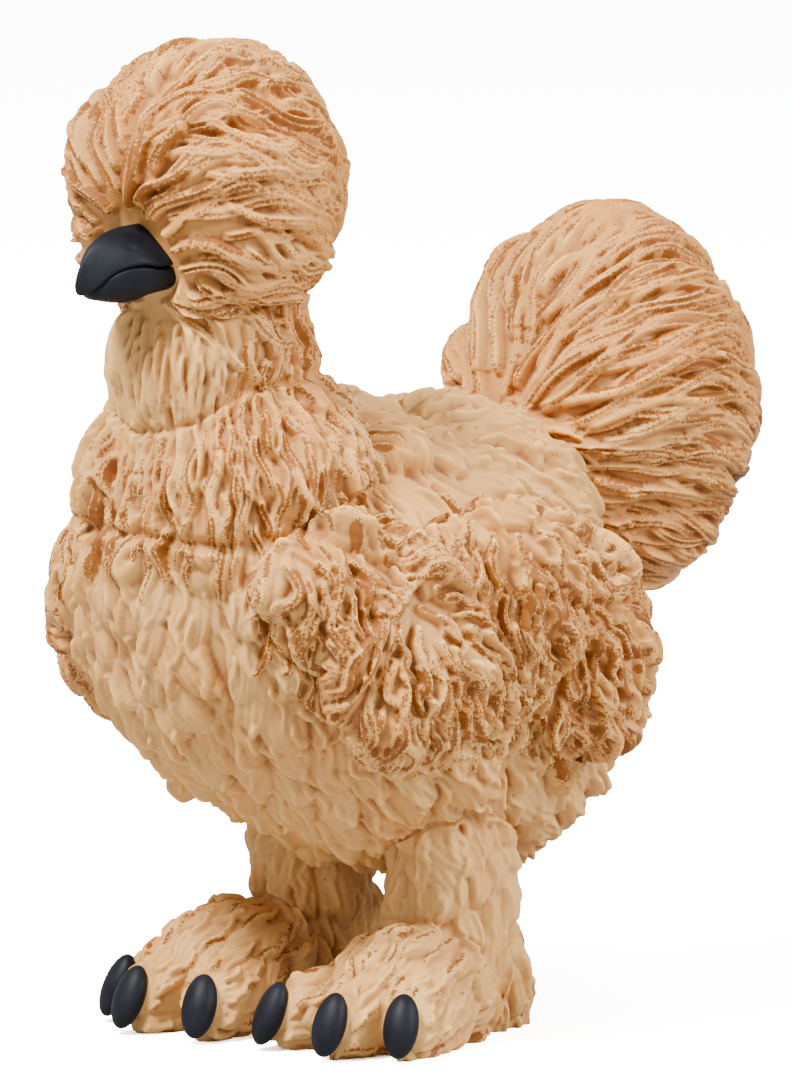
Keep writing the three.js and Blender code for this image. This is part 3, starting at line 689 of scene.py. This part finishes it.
def unwrap(mesh, base):
    """A UV map on six squares, one for each side of a cube round the piece. A corner's place on its
    square is the angle of its direction from the piece's middle, scaled by the piece's extents."""
    low, high = base.min(axis=0), base.max(axis=0)
    ways = (base - (low + high) / 2) / ((high - low) / 2)
    loops = np.empty(len(mesh.loops), dtype=np.int32)
    mesh.loops.foreach_get("vertex_index", loops)
    starts = np.empty(len(mesh.polygons), dtype=np.int32)
    mesh.polygons.foreach_get("loop_start", starts)
    sizes = np.diff(np.append(starts, len(loops)))
    middle = np.add.reduceat(ways[loops], starts) / sizes[:, None]
    axis = np.abs(middle).argmax(axis=1)
    forward = np.take_along_axis(middle, axis[:, None], 1)[:, 0] > 0
    square = np.repeat(axis * 2 + forward, sizes)
    axis = np.repeat(axis, sizes)
    corner = ways[loops]
    rows = np.arange(len(loops))
    depth = np.maximum(np.abs(corner[rows, axis]), 0.05)
    u = np.arctan(corner[rows, (axis + 1) % 3] / depth) / (math.pi / 2)
    v = np.arctan(corner[rows, (axis + 2) % 3] / depth) / (math.pi / 2)
    places = np.stack([(square % 3 + 0.5 + u * 0.92) / 3, (square // 3 + 0.5 + v * 0.92) / 2], -1)
    layer = mesh.uv_layers.new(name="OFBake")
    layer.data.foreach_set("uv", places.astype(np.float32).ravel())


# Pieces of the skin: name, the parts it covers, slot, and the nodes it replaces. One without parts is cut
# from the piece of the same kind by piece_labels.
SKIN_PIECES = [
    ("crest_and_cheeks", ("head",), "plumage", ("head",)),
    ("beard_and_neck", ("beard", "nape"), "plumage", ("beard", "neck")),
    ("wing_left_clumps", ("wing_left",), "plumage", ("wing_left",)),
    ("wing_right_clumps", ("wing_right",), "plumage", ("wing_right",)),
    ("tail_fan_left", ("tail",), "plumage", ("tail",)),
    ("tail_fan_right", (), "plumage", ("tail",)),
    ("breast", ("torso",), "cream", ("torso",)),
    ("flanks_and_belly", (), "cream", ("torso",)),
    ("cape_ruff", ("cape",), "cream", ("torso",)),
    ("back_and_fluff", ("saddle",), "cream", ("torso",)),
    ("leg_and_foot_left", ("leg", "foot"), "cream", ("leg_left", "foot_left")),
    ("leg_and_foot_right", (), "cream", ("leg_right", "foot_right")),
]
BREAST_END, BELLY_END = -5.0, 3.0  # along Y, where the torso's three pieces meet
WALL = 0.7  # how far a piece's rim is taken into the figure


def piece_labels(skin):
    """The piece of each face: the part that is nearest there, by votes smoothed over the skin, with the
    torso cut across twice, and the tail and the legs told apart by their side."""
    rounds = 16
    names = [row[0] for row in SKIN_PIECES]
    x, y, _ = skin.points.T
    votes = np.stack([skin.share(parts) if parts else 0 * x for _, parts, _, _ in SKIN_PIECES])
    breast, belly, back = (names.index(name) for name in ("breast", "flanks_and_belly", "back_and_fluff"))
    votes[back] += votes[breast] * (y > BELLY_END)
    votes[belly] = votes[breast] * ((y > BREAST_END) & (y <= BELLY_END))
    votes[breast] *= y <= BREAST_END
    for pair in (("leg_and_foot_left", "leg_and_foot_right"), ("tail_fan_left", "tail_fan_right")):
        left, right = (names.index(name) for name in pair)
        votes[right] = votes[left] * (x < 0)
        votes[left] *= x >= 0
    votes = np.stack([skin.web.smooth(vote, rounds) for vote in votes])
    return sum(votes[:, skin.quads[:, k]] for k in range(4)).argmax(axis=0)


def corner_normals(points, quads):
    """The whole skin's normals: each face's, weighed by its size, summed at its corners."""
    a, b, c, d = (points[quads[:, k]] for k in range(4))
    face = np.cross(c - a, d - b)
    corners = quads.ravel()
    total = np.stack([np.bincount(corners, np.repeat(face[:, k], 4), len(points)) for k in range(3)], 1)
    return unit(total)


# How warm the cast plastic's tan is on each part: 0 the palest cream, 1 the warmest tan.
WARMTH = {
    "head": 0.75,
    "beard": 0.1,
    "nape": 0.6,
    "cape": 0.55,
    "torso": 0.3,
    "saddle": 0.3,
    "tail": 0.85,
    "wing_left": 0.65,
    "wing_right": 0.65,
    "leg": 0.2,
    "foot": 0.25,
}


def build_skin(material):
    """The skin cut into its pieces, each with its rims closed and with what the paint reads: crease,
    brush, tint and warm."""
    skin = Skin()
    skin.sculpt()
    normals = corner_normals(skin.shaped, skin.quads)
    label = piece_labels(skin)
    warm = sum(WARMTH[part] * skin.shares[i] for i, part in enumerate(PARTS))
    # crease sets the painted highlight and painted shade in the material, as well as where the dry brush
    # lands.
    layers = {"crease": skin.crease, "brush": skin.brush, "tint": skin.tint, "warm": warm}
    for i, (name, _, slot, nodes) in enumerate(SKIN_PIECES):
        quads = skin.quads[label == i]
        used, quads = np.unique(quads, return_inverse=True)
        quads = quads.reshape(-1, 4)
        inner, wall, fans = close_rims(quads, skin.shaped[used], skin.normals[used])
        extra = len(inner)
        points = np.vstack([skin.shaped[used], inner])
        mesh = mesh_of(name, metres(points), np.vstack([quads, wall]), fans)
        own = np.vstack([normals[used], np.tile([0.0, 0.0, 1.0], (extra, 1))])
        unwrap(mesh, np.vstack([skin.points[used], inner]))
        for layer, values in layers.items():
            data = mesh.attributes.new(layer, "FLOAT", "POINT").data
            data.foreach_set("value", np.append(values[used], np.zeros(extra)).astype(np.float32))
        mesh.normals_split_custom_set_from_vertices(own.tolist())
        add_piece(name, mesh, material, slot, nodes)


# The beak's halves: rings along it, each a place along Y and Z, half width, height above and depth below,
# ending at the tip.
BEAK_UPPER = np.array([
    (-16.4, 41.2, 2.30, 1.75, 0.30),
    (-18.1, 41.15, 2.25, 1.80, 0.28),
    (-19.0, 41.3, 2.05, 1.60, 0.28),
    (-19.8, 41.25, 1.70, 1.50, 0.30),
    (-20.5, 41.0, 1.26, 1.45, 0.38),
    (-21.1, 40.5, 0.84, 1.50, 0.50),
    (-21.6, 40.15, 0.46, 1.25, 0.45),
    (-21.88, 40.2, 0.24, 0.65, 0.38),
    (-22.0, 40.25, 0.0, 0.0, 0.0),
])
BEAK_LOWER = np.array([
    (-16.6, 40.9, 2.25, 0.50, 1.40),
    (-18.1, 40.85, 2.20, 0.40, 1.50),
    (-19.0, 41.0, 2.00, 0.40, 1.90),
    (-19.8, 40.95, 1.66, 0.40, 1.80),
    (-20.5, 40.6, 1.20, 0.40, 1.30),
    (-21.0, 40.05, 0.70, 0.35, 0.62),
    (-21.3, 39.75, 0.0, 0.0, 0.0),
])
# The power on cosine and sine round the beak: over 1 gives a roof's straight slopes, under 1 a squarer
# oval. Its rings crowd towards the tip by CROWD.
ROOF, SQUARE, CROWD = 1.45, 0.8, 1.8
NOSTRIL = dict(place=(1.15, -19.3, 42.0), half=(0.2, 0.22, 0.14), depth=0.45)


def smooth_rows(rows, t):
    """Rows of numbers read at t from 0 to 1 along them, on a cubic through the rows."""
    x = np.clip(t, 0, 1) * (len(rows) - 1)
    i = np.minimum(x.astype(int), len(rows) - 2)
    f = (x - i)[:, None]
    a, b, c, d = (rows[np.clip(i + k, 0, len(rows) - 1)] for k in (-1, 0, 1, 2))
    return b + 0.5 * f * (c - a + f * (2 * a - 5 * b + 4 * c - d + f * (3 * (b - c) + d - a)))


def beak_half(rows, rings=110, columns=144):
    """Ovals along the beak: half width times cosine, and height or depth times sine, both to the power
    ROOF above and SQUARE below, at places that crowd towards the tip; then a pit for each nostril."""
    t = 1 - (1 - (np.arange(rings) + 0.5) / rings) ** CROWD
    y, z, wide, up, down = smooth_rows(rows, t).T
    angle = np.arange(columns) * 2 * math.pi / columns
    power = np.where(np.sin(angle) > 0, ROOF, SQUARE)
    rise = np.sign(np.sin(angle)) * np.abs(np.sin(angle)) ** power
    x = np.maximum(wide, 0)[:, None] * np.sign(np.cos(angle)) * np.abs(np.cos(angle)) ** power
    tall = np.where(rise > 0, np.maximum(up, 0)[:, None], np.maximum(down, 0)[:, None])
    points = np.stack([x, np.broadcast_to(y[:, None], x.shape), z[:, None] + tall * rise], -1)
    ends = np.array([[0, rows[0, 0] + 0.3, rows[0, 1]], [0, rows[-1, 0], rows[-1, 1]]])
    points = np.vstack([points.reshape(-1, 3), ends])
    for side in (1, -1):
        pit = NOSTRIL["place"] * np.array([side, 1, 1])
        near = np.exp(-(length((points - pit) / NOSTRIL["half"]) ** 2))
        points -= NOSTRIL["depth"] * near[:, None] * np.array([0.6 * side, 0, 0.8])
    return points, grid_faces(rings, columns)


def build_beak(material):
    for name, rows in (("beak_upper_half", BEAK_UPPER), ("beak_lower_half", BEAK_LOWER)):
        points, (quads, caps) = beak_half(rows)
        mesh = mesh_of(name, metres(points), quads[:, ::-1], caps[:, ::-1])
        unwrap(mesh, points)
        add_piece(name, mesh, material, "slate", (name.replace("_half", ""),))


def build_claws(material):
    """Each nail a globe times its half sizes, turned, and kept just off the floor."""
    rows, columns, floor_gap = 40, 48, 0.02
    quads, caps = grid_faces(rows, columns)
    oval = globe(rows, columns) * CLAW["half"]
    for claw in claw_frames():
        points = claw["middle"] + oval @ claw["turn"].T
        points[:, 2] = np.maximum(points[:, 2], floor_gap)
        name = claw["name"] + "_nail"
        mesh = mesh_of(name, metres(points), quads, caps)
        unwrap(mesh, points)
        add_piece(name, mesh, material, "slate", (claw["name"],))


# Paint and plastic colours, and the painted highlight and painted shade of the relief, linear.
CREAM = (0.6, 0.335, 0.105, 1)
TAN = (0.5, 0.205, 0.042, 1)
# Painted highlight, mixed on the tops of the ridges.
PAINTED_HIGHLIGHT = (0.88, 0.49, 0.13, 1)
# Painted shade, mixed into the creases of the relief.
PAINTED_SHADE = (0.28, 0.11, 0.035, 1)
BROWN = (0.12, 0.034, 0.004, 1)
RUST = (0.3, 0.092, 0.009, 1)
SLATE_DARK = (0.0045, 0.005, 0.0075, 1)
SLATE_LIGHT = (0.0075, 0.0085, 0.0125, 1)
FLOOR = (0.42, 0.42, 0.42, 1)
WORLD = (0.75, 0.78, 0.84, 1)
STUDIO_WHITE = (9.0, 9.0, 9.0, 1)  # floor and world as the camera sees them

# Noise in features per metre: grain of the cast skin and of the slate paint, clouds of colour, the dry
# brush's specks, and the change between its two browns.
SKIN_GRAIN, SLATE_GRAIN, CLOUDS, SPECKS, PAINT_TONES = 9000.0, 6000.0, 180.0, 8000.0, 2500.0


class Nodes:
    """Short calls for placing and linking a material's or group's nodes."""

    def __init__(self, tree):
        self.tree = tree

    def add(self, kind, inputs=None, **settings):
        node = self.tree.nodes.new(kind)
        for key, value in settings.items():
            setattr(node, key, value)
        for key, value in (inputs or {}).items():
            if isinstance(value, bpy.types.NodeSocket):
                self.tree.links.new(value, node.inputs[key])
            else:
                node.inputs[key].default_value = value
        return node

    def math(self, operation, a, b):
        return self.add("ShaderNodeMath", {0: a, 1: b}, operation=operation).outputs[0]

    def between(self, value, low, high, out_low=0.0, out_high=1.0):
        inputs = {"Value": value, "From Min": low, "From Max": high, "To Min": out_low, "To Max": out_high}
        return self.add("ShaderNodeMapRange", inputs, interpolation_type="SMOOTHSTEP").outputs["Result"]

    def mix(self, factor, a, b):
        return self.add("ShaderNodeMix", {0: factor, 6: a, 7: b}, data_type="RGBA").outputs[2]

    def noise(self, place, scale, detail=2.0):
        inputs = {"Vector": place, "Scale": scale, "Detail": detail, "Roughness": 0.6}
        return self.add("ShaderNodeTexNoise", inputs).outputs["Fac"]

    def attribute(self, name):
        return self.add("ShaderNodeAttribute", attribute_name=name).outputs["Fac"]

    def bump(self, height, strength, depth):
        inputs = {"Strength": strength, "Distance": depth, "Height": height}
        return self.add("ShaderNodeBump", inputs).outputs["Normal"]

    def feed(self, shader, **sources):
        for key, source in sources.items():
            self.tree.links.new(source, shader.inputs[key.replace("_", " ")])


def grain_group():
    """The fine surface of cast and sprayed plastic: Mottle, a soft cloudiness from 0 to 1, and Height,
    a fine pebbling, at a size given in features per metre."""
    group = bpy.data.node_groups.new("cast_grain", "ShaderNodeTree")
    group.interface.new_socket("Place", in_out="INPUT", socket_type="NodeSocketVector")
    group.interface.new_socket("Size", in_out="INPUT", socket_type="NodeSocketFloat")
    group.interface.new_socket("Mottle", in_out="OUTPUT", socket_type="NodeSocketFloat")
    group.interface.new_socket("Height", in_out="OUTPUT", socket_type="NodeSocketFloat")
    nodes = Nodes(group)
    given = nodes.add("NodeGroupInput")
    taken = nodes.add("NodeGroupOutput")
    broad = nodes.math("MULTIPLY", given.outputs["Size"], 0.12)
    group.links.new(nodes.noise(given.outputs["Place"], broad, 3.0), taken.inputs["Mottle"])
    group.links.new(nodes.noise(given.outputs["Place"], given.outputs["Size"], 3.0), taken.inputs["Height"])
    return group


def new_material(name):
    material = bpy.data.materials.new(name)
    material.use_nodes = True
    nodes = Nodes(material.node_tree)
    return material, nodes, material.node_tree.nodes["Principled BSDF"]


def skin_material(grain):
    """Cream to tan plastic, with a painted highlight on the ridges and painted shade in the creases, and
    stippled brown paint where the brush attribute plus the specks pass a threshold."""
    material, nodes, shader = new_material("painted_skin")
    place = nodes.add("ShaderNodeTexCoord").outputs["Object"]
    cast = nodes.add("ShaderNodeGroup", {"Place": place, "Size": SKIN_GRAIN}, node_tree=grain)
    crease, brush = nodes.attribute("crease"), nodes.attribute("brush")
    tint, warm = nodes.attribute("tint"), nodes.attribute("warm")
    clouds = nodes.noise(place, CLOUDS, 3.0)
    shade = nodes.math("ADD", nodes.math("MULTIPLY", tint, 0.35), nodes.math("MULTIPLY", clouds, 0.5))
    shade = nodes.math("ADD", shade, nodes.math("MULTIPLY", warm, 0.6))
    colour = nodes.mix(nodes.between(shade, 0.25, 1.15), CREAM, TAN)
    # Painted shade: darker where the relief dips below its smoothed shape, in the creases.
    colour = nodes.mix(nodes.between(crease, 0.0, -0.22, 0.0, 0.85), colour, PAINTED_SHADE)
    # Painted highlight: paler where the relief stands above its smoothed shape, on the ridges.
    colour = nodes.mix(nodes.between(crease, 0.03, 0.25, 0.0, 0.7), colour, PAINTED_HIGHLIGHT)
    speck = nodes.math("MULTIPLY", nodes.math("SUBTRACT", nodes.noise(place, SPECKS, 3.0), 0.5), 2.4)
    cover = nodes.math("MULTIPLY", brush, nodes.between(clouds, 0.3, 0.7, 0.9, 2.0))
    stipple = nodes.between(nodes.math("ADD", cover, speck), 0.38, 0.66)
    brown = nodes.mix(nodes.noise(place, PAINT_TONES), BROWN, RUST)
    colour = nodes.mix(nodes.math("MULTIPLY", stipple, 0.95), colour, brown)
    rough = nodes.between(cast.outputs["Mottle"], 0.3, 0.7, 0.52, 0.64)
    normal = nodes.bump(cast.outputs["Height"], 0.25, 0.00003)
    nodes.feed(shader, Base_Color=colour, Roughness=rough, Normal=normal)
    shader.inputs["Specular IOR Level"].default_value = 0.2
    return material


def slate_material(grain):
    """Satin slate paint with a slight cloudiness and pebbling."""
    material, nodes, shader = new_material("slate_paint")
    place = nodes.add("ShaderNodeTexCoord").outputs["Object"]
    cast = nodes.add("ShaderNodeGroup", {"Place": place, "Size": SLATE_GRAIN}, node_tree=grain)
    colour = nodes.mix(nodes.between(cast.outputs["Mottle"], 0.3, 0.7), SLATE_DARK, SLATE_LIGHT)
    rough = nodes.between(cast.outputs["Mottle"], 0.3, 0.7, 0.46, 0.56)
    normal = nodes.bump(cast.outputs["Height"], 0.2, 0.00002)
    nodes.feed(shader, Base_Color=colour, Roughness=rough, Normal=normal)
    shader.inputs["Specular IOR Level"].default_value = 0.12
    return material


def as_seen(nodes, colour):
    """The colour that lights the figure, and white where the camera looks at it straight."""
    return nodes.mix(nodes.add("ShaderNodeLightPath").outputs["Is Camera Ray"], colour, STUDIO_WHITE)


def build_floor():
    material, nodes, shader = new_material("pale_floor")
    nodes.feed(shader, Base_Color=as_seen(nodes, FLOOR))
    shader.inputs["Roughness"].default_value = 0.9
    shader.inputs["Specular IOR Level"].default_value = 0.0
    side = 1.5
    corners = np.array([(-side, -side, 0), (side, -side, 0), (side, side, 0), (-side, side, 0)])
    mesh = mesh_of("floor", corners, np.array([[0, 1, 2, 3]]))
    mesh.materials.append(material)
    floor = bpy.data.objects.new("floor", mesh)
    bpy.context.scene.collection.objects.link(floor)


def add_light(name, power, size, place):
    light = bpy.data.lights.new(name, "AREA")
    light.energy = power
    light.shape = "DISK"
    light.size = size
    lamp = bpy.data.objects.new(name, light)
    aim(lamp, place, LIGHT_TARGET)
    bpy.context.scene.collection.objects.link(lamp)


def aim(thing, place, target):
    """Turns a lamp or camera so that it looks from its place to the target."""
    back = unit(np.array(place, float) - np.array(target, float))
    right = unit(np.cross([0, 0, 1], back))
    up = np.cross(back, right)
    matrix = np.eye(4)
    matrix[:3, :3] = np.stack([right, up, back], axis=1)
    matrix[:3, 3] = place
    thing.matrix_world = Matrix(matrix.tolist())


# Lamps: name, watts, width and place in metres.
LAMPS = [("key", 3.4, 0.1, (0.0, -0.2, 0.31)), ("fill", 2.6, 0.25, (0.3, 0.12, 0.24))]
LIGHT_TARGET = (0, 0, 0.025)

LENS = 1200.0  # a long lens, so that near and far keep their sizes
SENSOR = 36.0
VIEW_HEIGHT = 55.3 * MM  # what the photograph's height takes in at the hen
VIEW_TARGET = np.array([-2.30, 2.08, 24.09]) * MM
VIEW_AZIMUTH, VIEW_ELEVATION = math.radians(45), math.radians(9)


def build_camera():
    camera = bpy.data.cameras.new("camera")
    camera.sensor_fit = "VERTICAL"
    camera.sensor_height = SENSOR
    camera.lens = LENS
    camera.clip_start = 0.01
    eye = bpy.data.objects.new("camera", camera)
    towards = np.array([
        math.sin(VIEW_AZIMUTH) * math.cos(VIEW_ELEVATION),
        -math.cos(VIEW_AZIMUTH) * math.cos(VIEW_ELEVATION),
        math.sin(VIEW_ELEVATION),
    ])
    place = VIEW_TARGET + towards * VIEW_HEIGHT * LENS / SENSOR
    aim(eye, place, VIEW_TARGET)
    bpy.context.scene.collection.objects.link(eye)
    bpy.context.scene.camera = eye


def build_light():
    world = bpy.data.worlds.new("studio")
    world.use_nodes = True
    nodes = Nodes(world.node_tree)
    nodes.feed(world.node_tree.nodes["Background"], Color=as_seen(nodes, WORLD))
    bpy.context.scene.world = world
    for lamp in LAMPS:
        add_light(*lamp)


build_camera()
grain = grain_group()
build_skin(skin_material(grain))
slate = slate_material(grain)
build_beak(slate)
build_claws(slate)
build_floor()
build_light()
